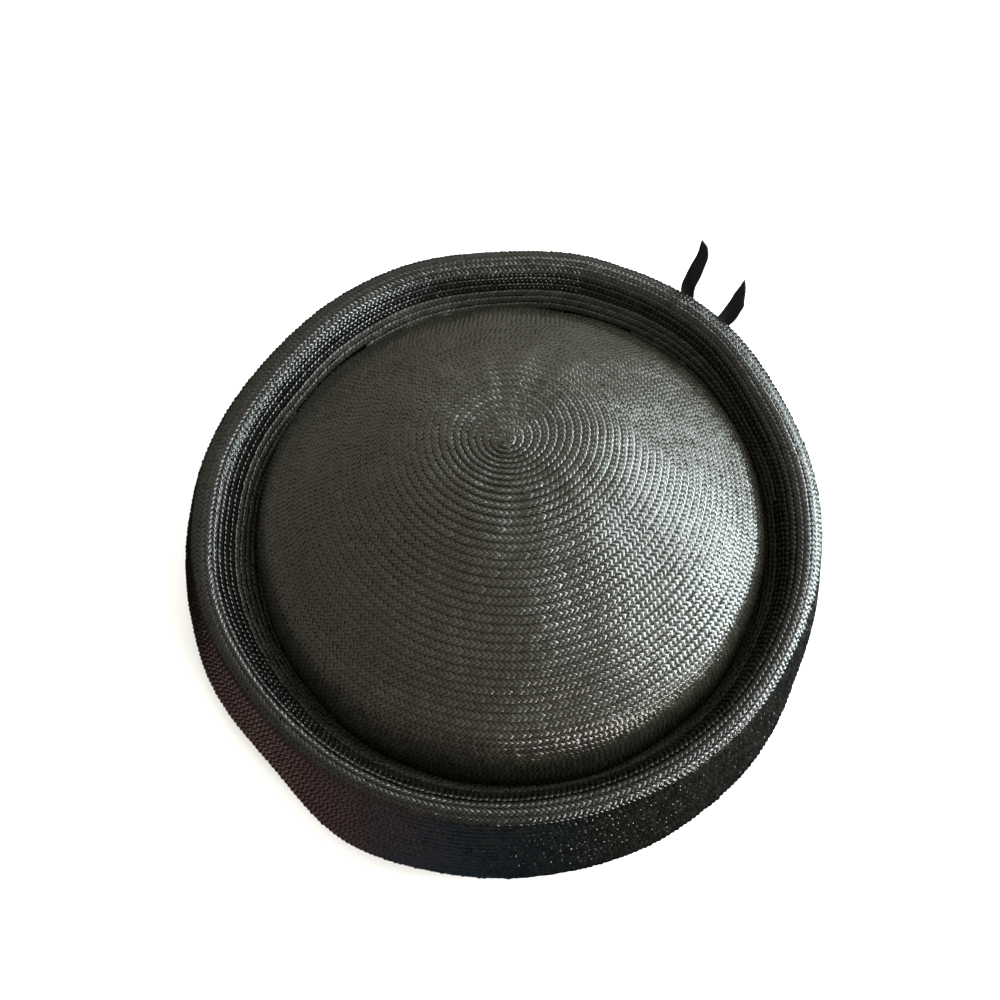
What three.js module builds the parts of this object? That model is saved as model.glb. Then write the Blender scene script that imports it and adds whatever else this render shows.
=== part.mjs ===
// A small hat of sewn straw braid: a blunt cone of a crown, a deep brim that turns up round it and
// rolls over with its edge down beside the crown, and a ribbon knot at the back whose two cut ends
// stand up.
// Millimetres, +Z up, resting on its base ring; -Y is the front, and the ribbon is at the back right.
import * as THREE from "three";

const wall = 2; // two laps of braid
const gap = 0.6; // clearance between neighbouring pieces
const turns = 64; // facets round the hat
const deg = Math.PI / 180;

const crownLength = 1.02; // from front to back, as a share of its width

// Rings of the crown's outside, from the head opening up to the tip. right and back say where a ring's
// middle is, and lean how many degrees its plane tips down towards the back, as the rows of braid do.
const crownRings = [
  { height: 0, radius: 92.6, right: 3.4, back: -1, lean: 0 },
  { height: 19.5, radius: 92.5, right: 3.4, back: -1, lean: 7.7 },
  { height: 31, radius: 91.8, right: 3.4, back: -0.2, lean: 7.7 },
  { height: 38.5, radius: 91, right: 3.3, back: 1.4, lean: 7.7 },
  { height: 45, radius: 89.2, right: 3.2, back: 3, lean: 7.7 },
  { height: 51, radius: 86.6, right: 3, back: 4.1, lean: 7.7 },
  { height: 57.6, radius: 80.2, right: 2.8, back: 4.8, lean: 7.7 },
  { height: 64, radius: 72.7, right: 2.8, back: 5.3, lean: 7.7 },
  { height: 69.8, radius: 64.5, right: 2.8, back: 6.1, lean: 7.7 },
  { height: 75.1, radius: 56.1, right: 2.8, back: 6.8, lean: 7.7 },
  { height: 80.2, radius: 47.6, right: 2.8, back: 7.5, lean: 7.7 },
  { height: 85, radius: 38.9, right: 2.8, back: 8.2, lean: 7.7 },
  { height: 88.6, radius: 29.6, right: 2.8, back: 8.4, lean: 7.7 },
  { height: 90.6, radius: 19.9, right: 2.5, back: 8, lean: 7.7 },
  { height: 91.7, radius: 10, right: 1.9, back: 6, lean: 7.7 },
  { height: 94, radius: 0, right: 1, back: 2.5, lean: 0 }, // the tip, pinched up towards the front
];

const brim = {
  bulgeRadius: 120,
  bulgeRound: 14.5,
  bulgeSteps: 6,
  lipReach: 109.5, // outermost of the rolled lip
  lipCentre: 1.3,
  lipSteps: 10,
  height: 58,
};

// How the hand-blocked brim strays from true circles, in degrees round from +X, how tightly its lip is
// rolled, and how high its foot is, where the turned-in edge ends beside the crown.
const brimShape = [
  { at: 0, bulge: 0.2, reach: 0.6, round: 7.4, foot: 39 },
  { at: 20, bulge: 0.2, reach: 0.4, round: 8, foot: 40 },
  { at: 43, bulge: 1.6, reach: 2.8, round: 8, foot: 40 },
  { at: 68, bulge: 1.0, reach: 1.6, round: 8, foot: 42 },
  { at: 92, bulge: 0, reach: -1.0, round: 8, foot: 43 },
  { at: 110, bulge: 0.4, reach: 0, round: 8, foot: 44 },
  { at: 146, bulge: -1.0, reach: -1.6, round: 8, foot: 44 },
  { at: 178, bulge: 1.2, reach: 0.8, round: 7.4, foot: 37 },
  { at: 200, bulge: -0.6, reach: 0.2, round: 5.2, foot: 35 },
  { at: 222, bulge: -3.4, reach: -0.8, round: 4.8, foot: 33 },
  { at: 246, bulge: 1.6, reach: 0, round: 5, foot: 33 },
  { at: 276, bulge: 0.6, reach: -0.2, round: 5.2, foot: 33 },
  { at: 310, bulge: 1.0, reach: 0.2, round: 5, foot: 34 },
  { at: 334, bulge: -1.6, reach: -0.4, round: 5.2, foot: 36 },
];

const knot = {
  at: 46, // degrees round the hat from +X
  height: 25,
  size: { across: 15, up: 11, out: 7 },
  stand: 1, // its middle line clears the leaning brim by this much
  facets: 16,
};

const ribbon = {
  width: 6.4,
  thickness: 1,
  crease: 0.8, // how far the fold along its middle stands proud
  steps: 16,
};

// Each tail leaves the knot, swings out to its own side and rises, turning as it goes: sideways,
// up and out from the knot's middle. Its slanting end takes the cut off the side towards the right.
const tails = [
  {
    name: "ribbon_tail_left",
    root: { side: 3.4, up: 6, out: -2.8 },
    swing: { side: 17.5, up: 14, out: -3.2 },
    rise: { side: 8, up: 36, out: -6 },
    tip: { side: 7, up: 55.5, out: -9.2 },
    turn: { root: 0, tip: -55 },
    cut: 7,
  },
  {
    name: "ribbon_tail_right",
    root: { side: -3.4, up: 6, out: -2.8 },
    swing: { side: -9.5, up: 16, out: -3.2 },
    rise: { side: -12.5, up: 33, out: -6 },
    tip: { side: -13, up: 50, out: -9.2 },
    turn: { root: 0, tip: -50 },
    cut: 11.5,
  },
];

const braid = new THREE.MeshStandardMaterial({ color: 0x2b2a25, roughness: 0.42, metalness: 0 });
const satin = new THREE.MeshStandardMaterial({ color: 0x191a19, roughness: 0.3, metalness: 0 });

// A column of brimShape at an angle, eased from each row to the next one round.
function shapeAt(angle, column) {
  const place = (((angle / deg) % 360) + 360) % 360;
  const next = brimShape.findIndex((row) => row.at > place);
  const after = brimShape[Math.max(next, 0)];
  const before = brimShape.at(next === -1 ? -1 : next - 1);
  const span = (after.at - before.at + 360) % 360;
  const share = ((place - before.at + 360) % 360) / span;
  return THREE.MathUtils.lerp(before[column], after[column], THREE.MathUtils.smoothstep(share, 0, 1));
}

// Distance from the Z axis, at an angle, of a circle whose centre lies along X.
function reach(radius, centre, angle) {
  return centre * Math.cos(angle) + Math.sqrt(radius ** 2 - (centre * Math.sin(angle)) ** 2);
}

// A point of one of the crown's rings, at a turn counted from its right-hand side.
function ringPoint(ring, turn) {
  const lean = ring.lean * deg;
  const side = ring.radius * crownLength * Math.sin(turn);
  const x = ring.right + ring.radius * Math.cos(turn);
  return new THREE.Vector3(x, ring.back + side * Math.cos(lean), ring.height - side * Math.sin(lean));
}

// How far out from the Z axis the brim has to stay to clear the crown, at an angle and a height.
function crownReach(angle, height) {
  const point = new THREE.Vector3();
  let turn = angle;
  for (let round = 0; round < 12; round++) {
    const points = crownRings.map((ring) => ringPoint(ring, turn));
    const next = points.findIndex((place) => place.z > height);
    const share = (height - points[next - 1].z) / (points[next].z - points[next - 1].z);
    point.lerpVectors(points[next - 1], points[next], share);
    const miss = angle - Math.atan2(point.y, point.x);
    turn += Math.atan2(Math.sin(miss), Math.cos(miss));
  }
  return Math.hypot(point.x, point.y) + gap;
}

// The crown's rings set in by inset, square to the face, and kept above the base.
function crownFace(inset) {
  return crownRings.map((ring, row) => {
    const below = crownRings[Math.max(row - 1, 0)];
    const above = crownRings[Math.min(row + 1, crownRings.length - 1)];
    const outward = new THREE.Vector2(above.height - below.height, below.radius - above.radius).normalize();
    const radius = Math.max(ring.radius - inset * outward.x, 0);
    const height = Math.max(ring.height - inset * outward.y, 0);
    return { ...ring, radius, height };
  });
}

function arcPoints(centre, radius, from, to, steps) {
  const points = [];
  for (let step = 0; step <= steps; step++) {
    const turn = THREE.MathUtils.lerp(from, to, step / steps);
    const spoke = new THREE.Vector2(Math.cos(turn), Math.sin(turn));
    points.push(spoke.multiplyScalar(radius).add(centre));
  }
  return points;
}

// The brim's section at an angle: out along the base, round the bulge, up and in to the rolled lip,
// and down to the foot beside the crown. Inset 0 is the face that shows, inset wall the one inside.
function brimFace(angle, inset) {
  const round = shapeAt(angle, "round");
  const lipReach = reach(brim.lipReach, brim.lipCentre, angle) + shapeAt(angle, "reach");
  const footHeight = shapeAt(angle, "foot");
  const lowReach = brim.bulgeRadius + shapeAt(angle, "bulge") - brim.bulgeRound;
  const low = new THREE.Vector2(lowReach, brim.bulgeRound);
  const high = new THREE.Vector2(lipReach - round, brim.height - round);
  const foot = new THREE.Vector2(crownReach(angle, footHeight), footHeight);
  // The straight stretches are tangent to the rounds at both ends, or at one.
  const climb = high.clone().sub(low);
  const wallTurn = climb.angle() - Math.acos((brim.bulgeRound - round) / climb.length());
  const drop = foot.clone().sub(high);
  const footTurn = drop.angle() - Math.acos(round / drop.length());
  const footInset = new THREE.Vector2(Math.cos(footTurn), Math.sin(footTurn)).multiplyScalar(inset);
  return [
    new THREE.Vector2(crownReach(angle, 0), inset),
    ...arcPoints(low, brim.bulgeRound - inset, -Math.PI / 2, wallTurn, brim.bulgeSteps),
    ...arcPoints(high, round - inset, wallTurn, footTurn, brim.lipSteps),
    foot.sub(footInset),
  ];
}

// The crown's wall, turned round Z and then laid on its own rings.
function makeCrown() {
  const rings = [...crownFace(wall).reverse(), ...crownFace(0)];
  const section = rings.map((ring) => new THREE.Vector2(ring.radius, ring.height));
  const geometry = new THREE.LatheGeometry(section, turns);
  const position = geometry.getAttribute("position");
  for (let i = 0; i < position.count; i++) {
    const facet = Math.floor(i / rings.length) % turns;
    const place = ringPoint(rings[i % rings.length], (facet / turns) * 2 * Math.PI);
    position.setXYZ(i, place.x, place.y, place.z);
  }
  geometry.computeVertexNormals();
  const mesh = new THREE.Mesh(geometry, braid);
  mesh.name = "crown";
  return mesh;
}

// The brim's closed section turned round Z, with each facet's own section at its angle.
function makeBrim() {
  const sectionAt = (angle) => {
    const face = brimFace(angle, 0);
    return [...face, ...brimFace(angle, wall).reverse(), face[0]];
  };
  const geometry = new THREE.LatheGeometry(sectionAt(0), turns);
  const position = geometry.getAttribute("position");
  for (let facet = 0; facet <= turns; facet++) {
    const angle = ((facet % turns) / turns) * 2 * Math.PI;
    sectionAt(angle).forEach((point, row, section) => {
      const x = point.x * Math.cos(angle);
      const y = point.x * Math.sin(angle);
      position.setXYZ(facet * section.length + row, x, y, point.y);
    });
  }
  geometry.computeVertexNormals();
  const mesh = new THREE.Mesh(geometry, braid);
  mesh.name = "brim";
  return mesh;
}

// How far out the brim's outside stands at a height below the lip.
function wallReach(angle, height) {
  const face = brimFace(angle, 0);
  const next = face.findIndex((point) => point.y > height);
  const below = face[next - 1];
  const above = face[next];
  return THREE.MathUtils.mapLinear(height, below.y, above.y, below.x, above.x);
}

// A flattened ball of wound ribbon; X runs sideways, Y up and Z out from the brim.
function makeKnot() {
  const geometry = new THREE.SphereGeometry(0.5, knot.facets, knot.facets / 2);
  geometry.scale(knot.size.across, knot.size.up, knot.size.out);
  const mesh = new THREE.Mesh(geometry, satin);
  mesh.name = "ribbon_knot";
  return mesh;
}

// A strip along its own curve, creased down the middle and cut slanting at the tip.
function makeTail({ name, root, swing, rise, tip, turn, cut }) {
  const stops = [root, swing, rise, tip].map((stop) => new THREE.Vector3(stop.side, stop.up, stop.out));
  const course = new THREE.CubicBezierCurve3(...stops);
  const cutShare = cut / course.getLength();
  const geometry = new THREE.BoxGeometry(ribbon.width, 1, ribbon.thickness, 2, ribbon.steps, 1);
  const position = geometry.getAttribute("position");
  const upright = new THREE.Vector3(0, 1, 0);
  for (let i = 0; i < position.count; i++) {
    const across = position.getX(i);
    const edge = across / (ribbon.width / 2); // -1 at the edge that is cut back, 1 at the other
    const share = (position.getY(i) + 0.5) * (1 - cutShare * (0.5 - edge / 2));
    const proud = position.getZ(i) + ribbon.crease * (1 - Math.abs(edge));
    const angle = THREE.MathUtils.lerp(turn.root, turn.tip, share) * deg;
    const place = new THREE.Vector3(across, 0, proud).applyAxisAngle(upright, angle);
    place.add(course.getPoint(share));
    position.setXYZ(i, place.x, place.y, place.z);
  }
  geometry.computeVertexNormals();
  const mesh = new THREE.Mesh(geometry, satin);
  mesh.name = name;
  return mesh;
}

// The knot and its tails, on the brim's outside.
function makeRibbon() {
  const angle = knot.at * deg;
  const across = new THREE.Vector3(-Math.sin(angle), Math.cos(angle), 0);
  const up = new THREE.Vector3(0, 0, 1);
  const out = new THREE.Vector3(Math.cos(angle), Math.sin(angle), 0);
  const distance = wallReach(angle, knot.height) + knot.stand + knot.size.out / 2;
  const group = new THREE.Group();
  group.add(makeKnot(), ...tails.map(makeTail));
  group.applyMatrix4(new THREE.Matrix4().makeBasis(across, up, out));
  group.position.copy(out).multiplyScalar(distance).setZ(knot.height);
  return group;
}

const hat = new THREE.Group();
hat.add(makeCrown(), makeBrim(), makeRibbon());

export default hat;
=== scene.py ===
# A small hat of sewn straw braid, standing on a pale floor.
# The plait is made straight, one stitch copied along its length, and then wound round the crown
# and the brim as the real one is sewn. Sizes are metres.
import bpy
import math
import numpy as np
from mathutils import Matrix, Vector


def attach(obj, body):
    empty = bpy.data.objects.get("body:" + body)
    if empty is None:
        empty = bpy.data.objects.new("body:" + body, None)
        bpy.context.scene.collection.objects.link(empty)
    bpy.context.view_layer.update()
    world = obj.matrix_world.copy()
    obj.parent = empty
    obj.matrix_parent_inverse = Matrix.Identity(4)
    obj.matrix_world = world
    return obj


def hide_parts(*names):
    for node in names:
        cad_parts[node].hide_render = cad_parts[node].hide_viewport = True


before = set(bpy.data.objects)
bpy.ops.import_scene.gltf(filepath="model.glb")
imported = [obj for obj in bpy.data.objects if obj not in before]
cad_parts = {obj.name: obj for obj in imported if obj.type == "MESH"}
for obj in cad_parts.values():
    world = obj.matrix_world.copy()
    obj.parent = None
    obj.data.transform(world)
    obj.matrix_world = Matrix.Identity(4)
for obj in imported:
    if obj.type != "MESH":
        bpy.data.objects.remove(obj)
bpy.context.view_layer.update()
root = "root"
mm = 0.001
straw = "straw_braid"


# Camera

cameraSettings = {
    "target": (1.3 * mm, 0, 58 * mm),  # the middle of the brim's top line
    "elevation": 65.5,
    "distance": 0.345,
    "roll": -1.1,
    "lens": 36,
    "shift": (-0.0055, -0.004),
}


def makeCamera(settings):
    target = Vector(settings["target"])
    elevation = math.radians(settings["elevation"])
    back = Vector((0, -math.cos(elevation), math.sin(elevation)))
    bpy.ops.object.camera_add(location=target + back * settings["distance"])
    camera = bpy.context.object
    camera.name = "camera"
    turn = (-back).to_track_quat("-Z", "Y").to_euler()
    turn.rotate_axis("Z", math.radians(settings["roll"]))
    camera.rotation_euler = turn
    camera.data.lens = settings["lens"]
    camera.data.sensor_width = 36
    camera.data.shift_x, camera.data.shift_y = settings["shift"]
    camera.data.clip_start = 0.01
    bpy.context.scene.camera = camera


makeCamera(cameraSettings)
print("camera placed")


# Shader sockets that can be added and multiplied like numbers

class Sock:
    def __init__(self, tree, out):
        self.tree = tree
        self.out = out

    def math(self, operation, *values):
        return addNode(self.tree, "ShaderNodeMath", {"operation": operation}, values)

    def __add__(self, other):
        return self.math("ADD", self, other)

    def __radd__(self, other):
        return self.math("ADD", other, self)

    def __mul__(self, other):
        return self.math("MULTIPLY", self, other)

    def __rmul__(self, other):
        return self.math("MULTIPLY", other, self)

    def sine(self):
        return self.math("SINE", self)


def addNode(tree, kind, settings, inputs=(), output=0):
    node = tree.nodes.new(kind)
    for name, value in settings.items():
        setattr(node, name, value)
    pairs = inputs.items() if isinstance(inputs, dict) else enumerate(inputs)
    for key, value in pairs:
        if isinstance(value, Sock):
            tree.links.new(value.out, node.inputs[key])
        else:
            node.inputs[key].default_value = value
    return Sock(tree, node.outputs[output])


def newMaterial(name):
    material = bpy.data.materials.new(name)
    material.use_nodes = True
    shader = next(node for node in material.node_tree.nodes if node.type == "BSDF_PRINCIPLED")
    return material, shader


def mixColour(tree, factor, first, second):
    inputs = {0: factor, 6: first, 7: second}  # the sockets a colour mix uses
    return addNode(tree, "ShaderNodeMix", {"data_type": "RGBA"}, inputs, output=2)


def smoothStep(tree, value, start, end):
    inputs = {"Value": value, "From Min": start, "From Max": end}
    return addNode(tree, "ShaderNodeMapRange", {"interpolation_type": "SMOOTHSTEP"}, inputs)


# Straw: black plastic straw with a soft shine, each stitch a little different from the next

# the crown's copy of the straw: its colour is lighter than the brim's copy of the same straw
crownLook = {
    "dark": (0.009, 0.0083, 0.006, 1),
    "light": (0.019, 0.0176, 0.013, 1),
    "roughness": 0.16,
}

# painted shade: the brim is the same straw as the crown, given a darker colour for the shade its wall lies
# in
brimPaintedShadeLook = {
    "dark": (0.002, 0.0019, 0.0016, 1),
    "light": (0.007, 0.0066, 0.0054, 1),
    "roughness": 0.14,
}

# painted light: the inside of the brim is the same straw, given a lighter colour for the room light it
# mirrors
insidePaintedLightLook = {
    "dark": (0.013, 0.0123, 0.0095, 1),
    "light": (0.025, 0.0237, 0.018, 1),
    "roughness": 0.38,
}

strawWear = {
    "toneShare": 0.6,  # how much of the colour is each stitch's own
    "cloudShare": 0.5,  # and how much changes slowly over the hat
    "cloudScale": 45.0,
    "cloudDetail": 3.0,
    "roughnessSpread": 0.1,
}


def makeStraw(name, look):
    material, shader = newMaterial(name)
    tree = material.node_tree
    tone = addNode(tree, "ShaderNodeAttribute", {"attribute_name": "tone"}, output=2)
    place = addNode(tree, "ShaderNodeTexCoord", {}, output=3)
    grain = {"Vector": place, "Scale": strawWear["cloudScale"], "Detail": strawWear["cloudDetail"]}
    cloud = addNode(tree, "ShaderNodeTexNoise", {}, grain)
    shade = tone * strawWear["toneShare"] + cloud * strawWear["cloudShare"]
    colour = mixColour(tree, shade, look["dark"], look["light"])
    tree.links.new(colour.out, shader.inputs["Base Color"])
    rough = look["roughness"] + tone * strawWear["roughnessSpread"]
    tree.links.new(rough.out, shader.inputs["Roughness"])
    return material


# The hat's form

crownLength = 1.02  # from front to back, as a share of its width
profileSteps = 600

crownRings = [  # height, radius, right and back of its middle in millimetres, lean in degrees
    (94, 0, 1, 2.5, 0),
    (91.7, 10, 1.9, 6, 7.7),
    (90.6, 19.9, 2.5, 8, 7.7),
    (88.6, 29.6, 2.8, 8.4, 7.7),
    (85, 38.9, 2.8, 8.2, 7.7),
    (80.2, 47.6, 2.8, 7.5, 7.7),
    (75.1, 56.1, 2.8, 6.8, 7.7),
    (69.8, 64.5, 2.8, 6.1, 7.7),
    (64, 72.7, 2.8, 5.3, 7.7),
    (57.6, 80.2, 2.8, 4.8, 7.7),
    (51, 87.4, 3, 3.6, 7.7),
    (45, 90, 3.2, 2.4, 7.7),
    (38.5, 91.3, 3.3, 1.2, 7.7),
    (31, 91.8, 3.4, -0.2, 7.7),
    (19.5, 92.5, 3.4, -1, 7.7),
    (0, 92.6, 3.4, -1, 0),
]

brimForm = {
    "bulgeRadius": 120 * mm,
    "bulgeRound": 14.5 * mm,
    "lipReach": 109.5 * mm,
    "lipCentre": 1.3 * mm,
    "height": 58 * mm,
    "footIn": 1.2 * mm,  # how far the turned-in edge goes under the crown's braid
    "gap": 0.2 * mm,  # from the crown to the base's inner edge
    "bulgeSteps": 24,
    "lipSteps": 12,
    "footSteps": 24,
}

brimShape = [  # degrees round from +X; bulge, reach, round and foot there, in millimetres
    (0, 0.2, 0.6, 7.4, 39),
    (20, 0.2, 0.4, 8, 40),
    (43, 1.6, 2.8, 8, 40),
    (68, 1.0, 1.6, 8, 42),
    (92, 0, -1.0, 8, 43),
    (110, 0.4, 0, 8, 44),
    (146, -1.0, -1.6, 8, 44),
    (178, 1.2, 0.8, 7.4, 37),
    (200, -0.6, 0.2, 5.2, 35),
    (222, -3.4, -0.8, 4.8, 33),
    (246, 1.6, 0, 5, 33),
    (276, 0.6, -0.2, 5.2, 33),
    (310, 1.0, 0.2, 5, 34),
    (334, -1.6, -0.4, 5.2, 36),
]


def shapeAt(angle, column):
    place = math.degrees(angle) % 360
    rows = brimShape + [(360,) + brimShape[0][1:]]
    for before, after in zip(rows, rows[1:]):
        if before[0] <= place < after[0]:
            share = (place - before[0]) / (after[0] - before[0])
            ease = share * share * (3 - 2 * share)
            return (before[column] + (after[column] - before[column]) * ease) * mm
    return rows[0][column] * mm  # a hair under 0 degrees can round to 360


def reach(radius, centre, angle):
    return centre * math.cos(angle) + math.sqrt(radius ** 2 - (centre * math.sin(angle)) ** 2)


def smoothRings(table, steps):
    # the table's rows joined by an even curve through them, at equal steps along the profile
    rows = np.array(table, float)
    run = np.append(0, np.cumsum(np.hypot(np.diff(rows[:, 0]), np.diff(rows[:, 1]))))
    slope = np.gradient(rows, run, axis=0)
    even = np.linspace(0, run[-1], steps)
    i = np.clip(np.searchsorted(run, even, side="right") - 1, 0, len(run) - 2)
    span = (run[i + 1] - run[i])[:, None]
    t = (even - run[i])[:, None] / span
    first = rows[i] * (2 * t ** 3 - 3 * t ** 2 + 1) + slope[i] * span * (t ** 3 - 2 * t ** 2 + t)
    second = rows[i + 1] * (3 * t ** 2 - 2 * t ** 3) + slope[i + 1] * span * (t ** 3 - t ** 2)
    rings = first + second
    rings[:, :4] *= mm
    rings[:, 4] *= math.pi / 180
    return rings


crownRows = smoothRings(crownRings, profileSteps)


def ringPoints(rings, turn):
    height, radius, right, back, lean = rings.T
    side = radius * crownLength * math.sin(turn)
    x = right + radius * math.cos(turn)
    return np.stack([x, back + side * np.cos(lean), height - side * np.sin(lean)], 1)


def crownLine(turn, inset=0.0):
    rings = crownRows.copy()
    slope = np.gradient(rings[:, :2], axis=0)
    slope /= np.linalg.norm(slope, axis=1, keepdims=True)
    rings[:, 1] = np.maximum(rings[:, 1] + slope[:, 0] * inset, 0)
    rings[:, 0] = np.maximum(rings[:, 0] - slope[:, 1] * inset, 0)
    return ringPoints(rings, turn)


def crownReach(angle, height):
    # how far out the crown is in this direction, at this height: the leaning rings' turn is corrected
    # until their point lies in the direction asked for
    turn = angle
    for _ in range(12):
        line = ringPoints(crownRows, turn)[::-1]
        x, y = (np.interp(height, line[:, 2], line[:, k]) for k in range(2))
        miss = angle - math.atan2(y, x)
        turn += math.atan2(math.sin(miss), math.cos(miss))
    return math.hypot(x, y)


def arc(centre, radius, start, end, steps):
    turns = np.linspace(start, end, steps)
    return np.stack([centre[0] + radius * np.cos(turns), centre[1] + radius * np.sin(turns)], 1)


def brimLine(angle, inset):
    # the brim's section: along the base, up the bulge and the wall to the lip, and down to its foot; and
    # how far each point is past the top of the lip
    form = brimForm
    roundness = shapeAt(angle, 3)
    lip = reach(form["lipReach"], form["lipCentre"], angle) + shapeAt(angle, 2)
    footHeight = shapeAt(angle, 4)
    low = np.array([form["bulgeRadius"] + shapeAt(angle, 1) - form["bulgeRound"], form["bulgeRound"]])
    high = np.array([lip - roundness, form["height"] - roundness])
    foot = np.array([crownReach(angle, footHeight) - form["footIn"], footHeight])
    climb = high - low
    wallTurn = math.atan2(climb[1], climb[0])
    wallTurn -= math.acos((form["bulgeRound"] - roundness) / np.hypot(*climb))
    drop = foot - high
    footTurn = math.atan2(drop[1], drop[0]) % (2 * math.pi)
    footTurn -= math.acos(roundness / np.hypot(*drop))
    line = np.concatenate([
        [[crownReach(angle, 0) + form["gap"], inset]],
        arc(low, form["bulgeRound"] - inset, -math.pi / 2, wallTurn, form["bulgeSteps"]),
        arc(high, roundness - inset, wallTurn, math.pi / 2, form["lipSteps"]),
        arc(high, roundness - inset, math.pi / 2, footTurn, form["footSteps"])[1:],
        [foot - inset * np.array([math.cos(footTurn), math.sin(footTurn)])],
    ])
    run = runAlong(line)
    top = form["bulgeSteps"] + form["lipSteps"]  # the last point before the lip turns down
    places = np.stack([line[:, 0] * math.cos(angle), line[:, 0] * math.sin(angle), line[:, 1]], 1)
    return places, run - run[top]


def runAlong(line):
    return np.append(0, np.cumsum(np.linalg.norm(np.diff(line, axis=0), axis=1)))


uneven = {  # hand blocking leaves the surface a little uneven
    "height": 0.16 * mm,
    # waves round the hat, millimetres along the line for each radian, and where the wave starts
    "waves": [(5, 11, 0), (9, -8, 1), (14, 15, 2)],
    "calm": 30,  # millimetres from the tip or the lip over which the waves grow
}


class Skin:
    # a surface kept as a table of points: turns round the hat by distances along its lines
    def __init__(self, lineAt, low, high, rounds=256, steps=500):
        self.low, self.high, self.rounds, self.steps = low, high, rounds, steps
        even = np.linspace(low, high, steps)
        table = []
        ends = []
        for angle in np.linspace(0, 2 * math.pi, rounds, endpoint=False):
            line, run = lineAt(angle)
            table.append(np.stack([np.interp(even, run, line[:, k]) for k in range(3)], 1))
            ends.append((run[0], run[-1]))
        self.table = np.array(table)
        self.ends = np.array(ends + ends[:1])
        around = np.roll(self.table, -1, 0) - np.roll(self.table, 1, 0)
        along = np.gradient(self.table, axis=1)
        normal = np.cross(around, along)
        self.normals = normal / np.maximum(np.linalg.norm(normal, axis=2, keepdims=True), 1e-12)
        turn = np.linspace(0, 2 * math.pi, rounds, endpoint=False)[:, None]
        distance = even[None, :] / mm
        waves = uneven["waves"]
        wave = sum(np.sin(count * turn + distance / length + start) for count, length, start in waves)
        fade = np.clip(np.abs(distance) / uneven["calm"], 0, 1)
        self.table += self.normals * (wave * fade)[:, :, None] * uneven["height"]

    def look(self, table, turn, distance):
        a = (turn % 1) * self.rounds
        b = np.clip((distance - self.low) / (self.high - self.low), 0, 1) * (self.steps - 1)
        i = np.floor(a).astype(int) % self.rounds
        j = np.minimum(np.floor(b).astype(int), self.steps - 2)
        shareRound = (a - np.floor(a))[:, None]
        shareAlong = (b - j)[:, None]
        after = (i + 1) % self.rounds
        first = table[i, j] * (1 - shareRound) + table[after, j] * shareRound
        second = table[i, j + 1] * (1 - shareRound) + table[after, j + 1] * shareRound
        return first * (1 - shareAlong) + second * shareAlong

    def place(self, turn, distance):
        return self.look(self.table, turn, distance)

    def normal(self, turn, distance):
        found = self.look(self.normals, turn, distance)
        return found / np.maximum(np.linalg.norm(found, axis=1, keepdims=True), 1e-12)

    def inside(self, turn, distance, margin):
        place = (turn % 1) * self.rounds
        first, last = (np.interp(place, np.arange(self.rounds + 1), self.ends[:, k]) for k in range(2))
        return (distance > first + margin) & (distance < last - margin)


# One stitch, and a length of plait

plait = {
    "row": 2.74 * mm,  # width of the row that shows
    "stitch": 1.8 * mm,  # from one chevron to the next
    "strand": 1.0 * mm,  # width of a strand
    "slant": 42,  # from the row's own direction
    "ridge": 0.27 * mm,  # height of the crease along a strand
    # a strand's start, crest and end: share of the row across, and height in millimetres
    "lapLeg": [(-0.52, -0.40), (-0.27, 0.24), (0.10, -0.26)],
    "tuckLeg": [(-0.12, -0.24), (0.15, 0.10), (0.46, -0.36)],
    "lap": 0.6 * mm,  # how far a row's edge stands over the next
    "sink": 0.2 * mm,  # how far below the hat's surface the plait lies
    "tilt": 0.06,  # how far a stitch leans, at random
    "wander": 0.09 * mm,  # how far the row strays across
    "wanderUp": 0.6,  # and how far up and down, as a share of that
    "wanderSpan": (15, 25),  # stitches over which it strays, across and up
    "trim": 0.2 * mm,  # how near an edge the last stitch may be
    "rest": 0.02 * mm,  # no stitch is pressed lower than this above the floor
    "guides": 96,  # points on each round of the spiral it follows
}


def clearSelection():
    if bpy.context.mode != "OBJECT":
        bpy.ops.object.mode_set(mode="OBJECT")
    bpy.ops.object.select_all(action="DESELECT")


def points(piece):
    found = np.empty(len(piece.data.vertices) * 3)
    piece.data.vertices.foreach_get("co", found)
    return found.reshape(-1, 3)


def setPoints(piece, places):
    piece.data.vertices.foreach_set("co", places.astype(np.float32).ravel())
    piece.data.update()


def makeLeg(settings, stops, slant):
    # a strand of straw: a small sheet arched along its length, creased along its middle, and closed below
    clearSelection()
    bpy.ops.mesh.primitive_grid_add(x_subdivisions=2, y_subdivisions=2, size=1, location=(0, 0, 0))
    leg = bpy.context.object
    local = points(leg)
    across, height = (np.interp(local[:, 0], (-0.5, 0, 0.5), values) for values in zip(*stops))
    y = across * settings["row"]
    lean = math.radians(slant)
    x = y / math.tan(lean) + local[:, 1] * settings["strand"] / abs(math.sin(lean))
    z = height * mm + settings["ridge"] * (1 - 2 * np.abs(local[:, 1]))
    setPoints(leg, np.stack([x, y, z], 1))
    bpy.ops.object.mode_set(mode="EDIT")
    bpy.ops.mesh.select_all(action="SELECT")
    bpy.ops.mesh.region_to_loop()
    bpy.ops.mesh.edge_face_add()
    bpy.ops.mesh.select_all(action="SELECT")
    bpy.ops.mesh.normals_make_consistent(inside=False)
    bpy.ops.object.mode_set(mode="OBJECT")
    bpy.ops.object.shade_smooth_by_angle(angle=math.radians(80))
    return leg


def makeStitch(settings):
    lapLeg = makeLeg(settings, settings["lapLeg"], settings["slant"])
    tuckLeg = makeLeg(settings, settings["tuckLeg"], -settings["slant"])
    lapLeg.select_set(True)
    tuckLeg.select_set(True)
    bpy.context.view_layer.objects.active = tuckLeg
    bpy.ops.object.join()
    return tuckLeg


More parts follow.
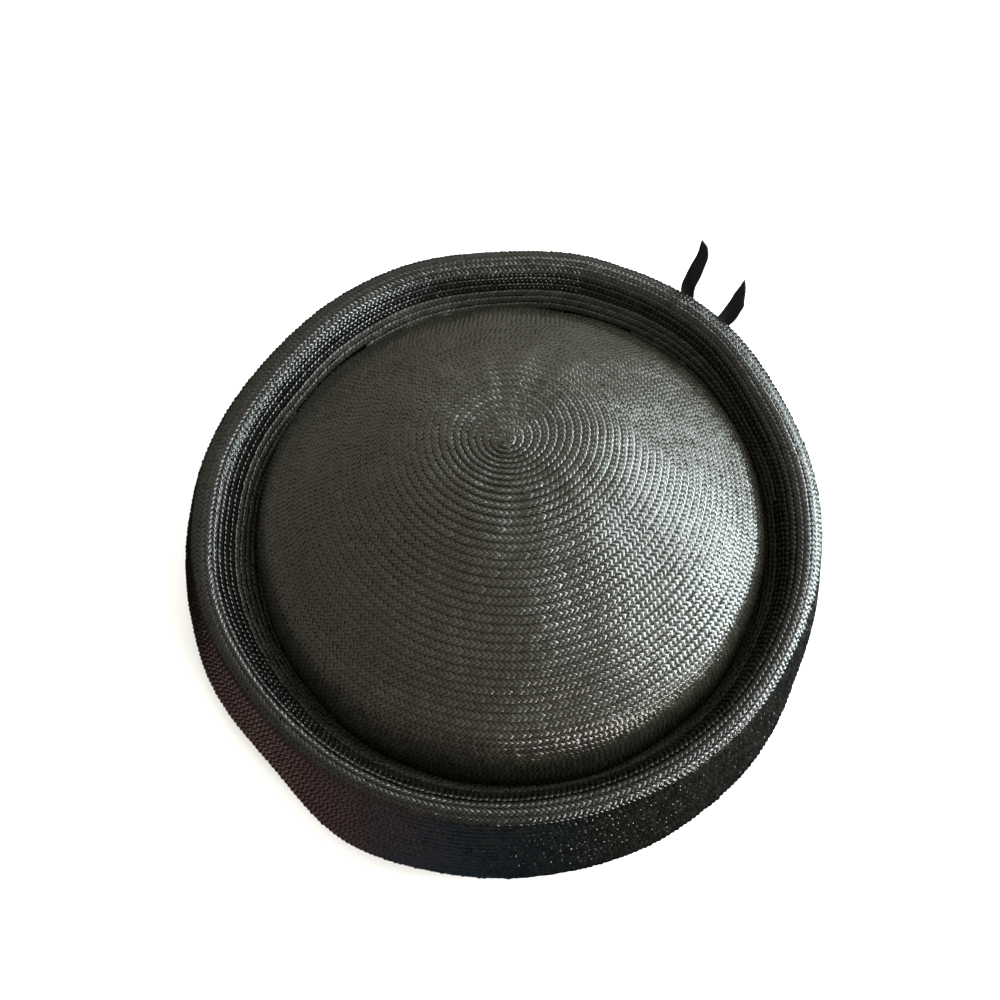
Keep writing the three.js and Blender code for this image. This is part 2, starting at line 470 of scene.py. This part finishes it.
def makePlait(settings, count, name):
    stitch = makeStitch(settings)
    stitchPoints = len(stitch.data.vertices)
    stitch.name = name
    stitch.data.name = name
    array = stitch.modifiers.new("length", "ARRAY")
    array.use_relative_offset = False
    array.use_constant_offset = True
    array.constant_offset_displace = (settings["stitch"], 0, 0)
    array.count = count
    bpy.ops.object.modifier_apply(modifier="length")
    return stitch, stitchPoints


def drift(rng, count, width):
    # slow random change from one stitch to the next, about -1 to 1
    raw = np.convolve(rng.normal(size=count + width), np.hanning(width + 2)[1:-1], "valid")[:count]
    return raw / raw.std() / 2


def windPlait(name, skin, pitches, side, settings, first, last, seed):
    # the length run along the spiral gives where on it each stitch falls
    turns = np.linspace(first, last, int((last - first) * settings["guides"]))
    run = runAlong(skin.place(turns, rowDistance(turns, pitches)))
    count = int(run[-1] / settings["stitch"])
    piece, stitchPoints = makePlait(settings, count, name)
    rng = np.random.default_rng(seed)

    def perStitch(values):
        return np.repeat(values, stitchPoints)

    local = points(piece)
    middle = perStitch(np.arange(count) * settings["stitch"])
    tilts = [perStitch(rng.normal(size=count)) * settings["tilt"] for _ in range(2)]
    local[:, 2] += tilts[0] * (local[:, 0] - middle) + tilts[1] * local[:, 1]
    spanAcross, spanUp = settings["wanderSpan"]
    local[:, 1] += perStitch(drift(rng, count, spanAcross)) * settings["wander"]
    local[:, 2] += perStitch(drift(rng, count, spanUp)) * settings["wander"] * settings["wanderUp"]
    turn = np.interp(local[:, 0], run, turns)
    across = local[:, 1] / settings["row"]
    pitch = rowDistance(turn + 0.5, pitches) - rowDistance(turn - 0.5, pitches)
    distance = rowDistance(turn, pitches) + side * across * pitch
    height = local[:, 2] - settings["sink"] - settings["lap"] * (0.5 + across)
    wound = skin.place(turn, distance) + skin.normal(turn, distance) * side * height[:, None]
    wound[:, 2] = np.maximum(wound[:, 2], settings["rest"])  # pressed flat where it rests
    setPoints(piece, wound)
    setTone(piece, perStitch(rng.random(count)))
    home = np.interp(middle, run, turns)
    mapPoints(piece, turn - np.floor(home), (distance - skin.low) / (skin.high - skin.low))
    # what runs past the surface's ends is cut away
    beyond = ~skin.inside(home, rowDistance(home, pitches), settings["trim"])
    smoothAll(piece)
    if beyond.any():
        removePoints(piece, beyond)
    return piece


def rowDistance(turns, pitches):
    # how far along the skin's lines the spiral is after so many turns
    if len(pitches) == 1:
        return turns * pitches[0][1]
    marks = np.cumsum([0] + [rounds for rounds, pitch in pitches])
    lengths = np.cumsum([0] + [rounds * pitch for rounds, pitch in pitches])
    return np.interp(turns, marks, lengths)


def removePoints(piece, chosen):
    bpy.ops.object.mode_set(mode="EDIT")
    bpy.ops.mesh.select_mode(type="VERT")
    bpy.ops.mesh.select_all(action="DESELECT")
    bpy.ops.object.mode_set(mode="OBJECT")
    piece.data.vertices.foreach_set("select", chosen)
    bpy.ops.object.mode_set(mode="EDIT")
    bpy.ops.mesh.delete(type="VERT")
    bpy.ops.object.mode_set(mode="OBJECT")


def setTone(piece, values):
    tone = piece.data.attributes.new("tone", "FLOAT", "POINT")
    tone.data.foreach_set("value", values.astype(np.float32))


def mapPoints(piece, across, up):
    # the piece's own map, laid out as the skin is
    layer = piece.data.uv_layers.new(name="OFBake")
    corners = np.empty(len(piece.data.loops), int)
    piece.data.loops.foreach_get("vertex_index", corners)
    margin = 0.02
    places = margin + (1 - 2 * margin) * np.clip(np.stack([across, up], 1)[corners], 0, 1)
    layer.data.foreach_set("uv", places.astype(np.float32).ravel())


def smoothAll(piece):
    piece.data.polygons.foreach_set("use_smooth", np.ones(len(piece.data.polygons), bool))


def finish(piece, slot, material, *nodes):
    piece.data.materials.append(material)
    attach(piece, root)
    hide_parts(*nodes)
    print(piece.name, len(piece.data.polygons), "faces")


# one straw in three colours: the crown's lighter than the brim's, the brim's darker as painted shade, the
# inside's lighter as painted light
crownStraw = makeStraw("crown black straw", crownLook)
brimShadedStraw = makeStraw("black straw", brimPaintedShadeLook)
insidePaintedLightStraw = makeStraw("inside black straw with painted light", insidePaintedLightLook)

crownRun = runAlong(crownRows[:, :2])
crownSkin = Skin(lambda turn: (crownLine(turn), crownRun), 0, crownRun[-1])
crownWinding = {
    "start": 0.3,  # turns from the tip
    "pitches": [(8, 2.5 * mm), (10, 2.65 * mm), (40, 2.74 * mm)],  # rounds, and how far apart they lie
    "lowest": 12 * mm,  # the last round's height, hidden in the brim
    "share": 0.7,  # how much of the turns the first piece takes
    "overlap": 0.004,  # turns it runs on beside the second, so that no gap shows
    "seed": 3,
}

crownPitches = crownWinding["pitches"]
crownEnd = crownRun[np.argmax(crownRows[:, 0] < crownWinding["lowest"])]
rounds = np.arange(sum(count for count, pitch in crownPitches))
crownTurns = np.interp(crownEnd, rowDistance(rounds, crownPitches), rounds)
crownJoin = crownTurns * crownWinding["share"]
crownPieces = {
    "crown_braid_top": (crownWinding["start"], crownJoin + crownWinding["overlap"]),
    "crown_braid_side": (crownJoin, crownTurns),
}
for seed, (name, (first, last)) in enumerate(crownPieces.items(), crownWinding["seed"]):
    piece = windPlait(name, crownSkin, crownPitches, -1, plait, first, last, seed)
    finish(piece, straw, crownStraw, "crown")
print("crown wound,", round(crownTurns, 1), "rows")

brimWinding = {
    "pitches": [(1, plait["row"])],
    "reach": (-92 * mm, 52 * mm),  # how far the skin goes before and after the top of the lip
    "steps": 700,
    "overlap": 0.003,
    "seed": 11,
}

proud = {**plait, "ridge": 0.32 * mm}  # the plait stands out on the wall and the lip
inner = {**plait, "ridge": 0.14 * mm, "lap": 0.45 * mm}  # and lies flatter inside the brim
brimTurns = {  # turns before and after the top of the lip
    "brim_braid_base": (plait, brimShadedStraw, -33.5, -17),
    "brim_braid_wall": (proud, brimShadedStraw, -17, -4),
    "brim_braid_lip": (proud, brimShadedStraw, -4, 5),
    "brim_braid_inside": (inner, insidePaintedLightStraw, 5, 18),
}
brimSkin = Skin(lambda angle: brimLine(angle, 0), *brimWinding["reach"], steps=brimWinding["steps"])
for seed, (name, (settings, material, first, last)) in enumerate(brimTurns.items(), brimWinding["seed"]):
    last += brimWinding["overlap"]
    piece = windPlait(name, brimSkin, brimWinding["pitches"], 1, settings, first, last, seed)
    finish(piece, straw, material, "brim")
print("brim wound")


# The plain lining layer of each wall, behind the plait

lining = {
    "inset": 1.3 * mm,  # from the hat's outside to the lining's
    "inside": 2 * mm,  # and to its inside, on the brim
    "laps": (1.7 * mm, 2.1 * mm),  # and on the crown, at the start and the end of each lap
    "thin": 10,  # one in so many of the profile's points is used outside
    "steps": 250,  # points inside
    "rounds": 160,
}


def wrapSheet(name, lines):
    # a grid laid on lines that run round the hat, the last one meeting the first
    lines = np.concatenate([lines, lines[:1]])
    columns, rows = lines.shape[0] - 1, lines.shape[1] - 1
    clearSelection()
    bpy.ops.mesh.primitive_grid_add(x_subdivisions=columns, y_subdivisions=rows, size=1, location=(0, 0, 0))
    sheet = bpy.context.object
    sheet.name = name
    sheet.data.name = name
    local = points(sheet)
    i = np.rint((local[:, 0] + 0.5) * columns).astype(int)
    j = np.rint((local[:, 1] + 0.5) * rows).astype(int)
    setPoints(sheet, lines[i, j])
    setTone(sheet, np.full(len(local), 0.5))
    mapPoints(sheet, i / columns, j / rows)
    bpy.ops.object.mode_set(mode="EDIT")
    bpy.ops.mesh.select_all(action="SELECT")
    bpy.ops.mesh.remove_doubles(threshold=1e-6)
    bpy.ops.mesh.normals_make_consistent(inside=False)
    bpy.ops.object.mode_set(mode="OBJECT")
    smoothAll(sheet)
    return sheet


def crownWall(turn):
    # plain outside, and inside the rows' laps as small steps
    outside = crownLine(turn, lining["inset"])[::lining["thin"]]
    run = np.linspace(0, crownRun[-1], lining["steps"])
    near, far = (
        np.stack([np.interp(run, crownRun, axis) for axis in crownLine(turn, inset).T], 1)
        for inset in lining["laps"]
    )
    inside = near + (far - near) * ((run / plait["row"]) % 1)[:, None]
    return np.concatenate([outside, inside[::-1]])


def brimWall(angle):
    outside = brimLine(angle, lining["inset"])[0]
    inside = brimLine(angle, lining["inside"])[0]
    return np.concatenate([outside, inside[::-1], outside[:1]])


turnsRound = np.linspace(0, 2 * math.pi, lining["rounds"], endpoint=False)
crownShell = wrapSheet("crown_lining", np.array([crownWall(turn) for turn in turnsRound]))
finish(crownShell, straw, crownStraw, "crown")
brimShell = wrapSheet("brim_lining", np.array([brimWall(turn) for turn in turnsRound]))
finish(brimShell, straw, brimShadedStraw, "brim")
print("lining laid")


# The ribbon: a knot on the brim's outside, and two cut ends

knotForm = {
    "at": 46,  # degrees round the hat from +X
    "height": 25 * mm,
    "size": (15 * mm, 11 * mm, 7 * mm),
    "stand": 1 * mm,
    "wall": 50 * mm,  # the wall that it stands on is below this height
    "core": (1, 0.9, 0.8),  # the ball inside the wraps, as shares of the size
    "bands": [(0, 1, 1), (62, 0.94, 0.8), (-55, 0.97, 0.7)],  # turn, size and width of each wrap
    "drawnIn": 0.5,  # how strongly a wrap narrows towards its edges
    "pleats": (0.04, 16),  # height, and radians across a wrap
    "thickness": 0.5 * mm,
}

tailForm = {
    "width": 6.4 * mm,
    "thickness": 0.5 * mm,
    "crease": 0.5 * mm,  # height of the fold along the middle
    "creasePower": 1.3,
    "curl": 0.5 * mm,  # how far the edges roll back
    "curlPower": 4,
    "ripple": 0.18 * mm,
    "rippleTurns": (23, 1.5),  # radians along and across
    "drawnIn": 0.25,  # how much narrower it is at the knot
    "drawnInRate": 9,
    "steps": (16, 70),
}

tails = {  # sideways, up and out from the knot's middle in millimetres; turns in degrees
    "ribbon_end_left": {
        "stops": [(3.4, 6, -2.8), (20.6, 6.6, -2.9), (7.6, 33.3, -5.7), (7.1, 53.2, -8.9)],
        "turn": (15, -32),
        "cut": 1 * mm,
        "replaces": "ribbon_tail_left",
    },
    "ribbon_end_right": {
        "stops": [(-3.4, 6, -2.8), (-8.8, 17.1, -2.9), (-9.8, 33.5, -5.7), (-13.3, 47.5, -8)],
        "turn": (15, -34),
        "cut": 13.3 * mm,
        "replaces": "ribbon_tail_right",
    },
}

satinLook = {
    "colour": (0.026, 0.028, 0.027, 1),
    "roughness": 0.28,
    "ribs": 7,  # across the ribbon
    "ribRoughness": 0.05,
    "ribStrength": 0.25,
    "ribHeight": 0.05 * mm,
}


def makeSatin(look):
    material, shader = newMaterial("black satin")
    tree = material.node_tree
    shader.inputs["Base Color"].default_value = look["colour"]
    layout = addNode(tree, "ShaderNodeUVMap", {"uv_map": "OFBake"})
    across = addNode(tree, "ShaderNodeSeparateXYZ", {}, {0: layout}, output=0)
    ribs = (across * (look["ribs"] * 2 * math.pi)).sine()
    tree.links.new((look["roughness"] + ribs * look["ribRoughness"]).out, shader.inputs["Roughness"])
    relief = {"Height": ribs, "Strength": look["ribStrength"], "Distance": look["ribHeight"]}
    bump = addNode(tree, "ShaderNodeBump", {}, relief)
    tree.links.new(bump.out, shader.inputs["Normal"])
    return material


def curvePoints(stops, share):
    a, b, c, d = np.array(stops) * mm
    t = share[:, None]
    return a * (1 - t) ** 3 + 3 * b * t * (1 - t) ** 2 + 3 * c * t ** 2 * (1 - t) + d * t ** 3


def knotPlace():
    angle = math.radians(knotForm["at"])
    line, run = brimLine(angle, 0)
    wall = line[(line[:, 2] < knotForm["wall"]) & (run < 0)]
    out = np.interp(knotForm["height"], wall[:, 2], np.hypot(wall[:, 0], wall[:, 1]))
    out += knotForm["stand"] + knotForm["size"][2] / 2
    x, y = math.cos(angle), math.sin(angle)
    axes = np.array([[-y, x, 0], [0, 0, 1], [x, y, 0]])
    return axes, axes[2] * out + np.array([0, 0, knotForm["height"]])


def toKnot(piece):
    # from the knot's own sideways, up and out to the hat's place
    axes, middle = knotPlace()
    setPoints(piece, points(piece) @ axes + middle)
    bpy.ops.object.mode_set(mode="EDIT")
    bpy.ops.mesh.select_all(action="SELECT")
    bpy.ops.mesh.normals_make_consistent(inside=False)
    bpy.ops.object.mode_set(mode="OBJECT")
    smoothAll(piece)


def thicken(piece, thickness):
    solid = piece.modifiers.new("thickness", "SOLIDIFY")
    solid.thickness = thickness
    solid.offset = 0
    bpy.ops.object.modifier_apply(modifier=solid.name)


def makeTail(name, tail, form):
    clearSelection()
    columns, rows = form["steps"]
    bpy.ops.mesh.primitive_grid_add(x_subdivisions=columns, y_subdivisions=rows, size=1, location=(0, 0, 0))
    piece = bpy.context.object
    piece.name = name
    piece.data.name = name
    local = points(piece)
    edge = local[:, 0] * 2
    length = runAlong(curvePoints(tail["stops"], np.linspace(0, 1, 200)))[-1]
    share = (local[:, 1] + 0.5) * (1 - tail["cut"] / length * (0.5 - edge / 2))
    # a fold along the middle, and edges that roll back a little, more at the free end, and ripple
    side = np.abs(edge)
    along, slope = form["rippleTurns"]
    height = form["crease"] * (1 - side) ** form["creasePower"]
    height -= form["curl"] * share * side ** form["curlPower"]
    height += form["ripple"] * np.sin(share * along + edge * slope) * side
    across = edge * form["width"] / 2 * (1 - form["drawnIn"] * np.exp(-share * form["drawnInRate"]))
    turn = np.radians(np.interp(share, (0, 1), tail["turn"]))
    sideways = across * np.cos(turn) + height * np.sin(turn)
    out = height * np.cos(turn) - across * np.sin(turn)
    setPoints(piece, np.stack([sideways, np.zeros(len(share)), out], 1) + curvePoints(tail["stops"], share))
    mapPoints(piece, local[:, 0] + 0.5, local[:, 1] + 0.5)
    thicken(piece, form["thickness"])
    toKnot(piece)
    return piece


def makeKnot(form):
    clearSelection()
    bpy.ops.mesh.primitive_uv_sphere_add(segments=32, ring_count=20, radius=0.5, location=(0, 0, 0))
    core = bpy.context.object
    core.name = "ribbon_ball"
    wide, tall, deep = form["size"]
    setPoints(core, points(core) * np.multiply(form["size"], form["core"]))
    parts = [core]
    strength, waves = form["pleats"]
    for turn, size, share in form["bands"]:
        clearSelection()
        bpy.ops.mesh.primitive_cylinder_add(
            vertices=48, radius=0.5, depth=1, end_fill_type="NOTHING", location=(0, 0, 0))
        band = bpy.context.object
        bpy.ops.object.mode_set(mode="EDIT")
        bpy.ops.mesh.select_all(action="SELECT")
        bpy.ops.mesh.subdivide(number_cuts=3)
        bpy.ops.object.mode_set(mode="OBJECT")
        local = points(band)
        # drawn in towards its edges and pleated, as pulled ribbon is
        place = local[:, 2]
        tight = size * (1 - form["drawnIn"] * place ** 2 + strength * np.sin(place * waves))
        x = place * tailForm["width"] * share
        shaped = np.stack([x, local[:, 0] * tall * tight, local[:, 1] * deep * tight], 1)
        cosine, sine = math.cos(math.radians(turn)), math.sin(math.radians(turn))
        setPoints(band, shaped @ np.array([[cosine, sine, 0], [-sine, cosine, 0], [0, 0, 1]]))
        thicken(band, form["thickness"])
        parts.append(band)
    clearSelection()
    for part in parts:
        part.select_set(True)
    bpy.context.view_layer.objects.active = core
    bpy.ops.object.join()
    local = points(core)
    mapPoints(core, local[:, 0] / wide + 0.5, local[:, 1] / tall + 0.5)
    toKnot(core)
    return core


blackSatin = makeSatin(satinLook)
for name, tail in tails.items():
    finish(makeTail(name, tail, tailForm), "ribbon", blackSatin, tail["replaces"])
finish(makeKnot(knotForm), "ribbon", blackSatin, "ribbon_knot")
print("ribbon tied")


# Floor, room and lights

floorLook = {
    "size": 8,
    "colour": (0.86, 0.86, 0.86, 1),
    "roughness": 0.9,
}

roomLook = {
    "left": (0.54, 0.51, 0.42, 1),
    "right": (1.08, 1.06, 0.96, 1),
    # the lower half in front, which the brim's near wall mirrors, from its middle to its far left
    "table": (0.008, 0.0075, 0.007, 1),
    "cool": (0.04, 0.30, 0.50, 1),
    "warm": (0.8, 0.42, 0.39, 1),
    "shade": (0.16, 0.15, 0.13, 1),
    # where each change starts and ends, from -1 (left, front, down) to 1 (right, back, up)
    "leftToRight": (-0.55, 0.5),
    "tableToCool": (0.12, -0.08),
    "coolToWarm": (-0.24, -0.42),
    "warmToShade": (-0.62, -0.85),
    "backToFront": (0.1, -0.15),
    "lowToHigh": (-0.08, 0.16),
    "behind": 0.5,  # how much brighter it is behind, and darker in front, than at the sides
}

lights = [
    # name, azimuth and elevation in degrees, distance and size in metres, watts, colour
    ("window", 3, 16, 1.1, (0.56, 1.15), 54, (0.86, 0.98, 1.0)),
    ("second pane", 36, 32, 1.1, (0.5, 0.9), 13, (0.86, 0.98, 1.0)),
    ("room", -50, 14, 1.3, (0.3, 0.7), 16, (1.0, 0.97, 0.92)),
]
aimHeight = 0.05

ceilingLook = {
    "height": 2.2,
    "size": 3,
    "watts": 60,
}


def makeFloor(look):
    clearSelection()
    bpy.ops.mesh.primitive_plane_add(size=look["size"], location=(0, 0, 0))
    floor = bpy.context.object
    floor.name = "floor"
    material, shader = newMaterial("pale floor")
    shader.inputs["Base Color"].default_value = look["colour"]
    shader.inputs["Roughness"].default_value = look["roughness"]
    floor.data.materials.append(material)
    # only the camera sees the floor: the straw mirrors the room's lower half instead
    floor.visible_glossy = False
    floor.visible_diffuse = False
    floor.visible_shadow = False


def makeRoom(look):
    world = bpy.data.worlds.new("soft room")
    bpy.context.scene.world = world
    world.use_nodes = True
    tree = world.node_tree
    way = addNode(tree, "ShaderNodeTexCoord", {}, output=0)
    x, y, z = [addNode(tree, "ShaderNodeSeparateXYZ", {}, {0: way}, output=k) for k in range(3)]
    sky = mixColour(tree, smoothStep(tree, x, *look["leftToRight"]), look["left"], look["right"])
    cool = mixColour(tree, smoothStep(tree, x, *look["tableToCool"]), look["table"], look["cool"])
    warm = mixColour(tree, smoothStep(tree, x, *look["coolToWarm"]), cool, look["warm"])
    far = mixColour(tree, smoothStep(tree, x, *look["warmToShade"]), warm, look["shade"])
    low = mixColour(tree, smoothStep(tree, y, *look["backToFront"]), look["table"], far)
    room = mixColour(tree, smoothStep(tree, z, *look["lowToHigh"]), low, sky)
    background = tree.nodes["Background"]
    tree.links.new(room.out, background.inputs["Color"])
    tree.links.new((1 + y * look["behind"]).out, background.inputs["Strength"])


def makeLight(name, azimuth, elevation, distance, size, watts, colour):
    turn, rise = math.radians(azimuth), math.radians(elevation)
    flat = math.cos(rise)
    way = Vector((math.cos(turn) * flat, math.sin(turn) * flat, math.sin(rise)))
    bpy.ops.object.light_add(type="AREA", location=way * distance + Vector((0, 0, aimHeight)))
    light = bpy.context.object
    light.name = name
    light.data.shape = "RECTANGLE"
    light.data.size, light.data.size_y = size
    light.data.energy = watts
    light.data.color = colour
    light.rotation_euler = way.to_track_quat("Z", "Y").to_euler()


def makeCeiling(look):
    bpy.ops.object.light_add(type="AREA", location=(0, 0, look["height"]))
    ceiling = bpy.context.object
    ceiling.name = "ceiling"
    ceiling.data.size = look["size"]
    ceiling.data.energy = look["watts"]
    ceiling.visible_glossy = False


makeFloor(floorLook)
makeRoom(roomLook)
for light in lights:
    makeLight(*light)
makeCeiling(ceilingLook)
bpy.context.scene.view_settings.view_transform = "Standard"
print("floor, room and lights placed")
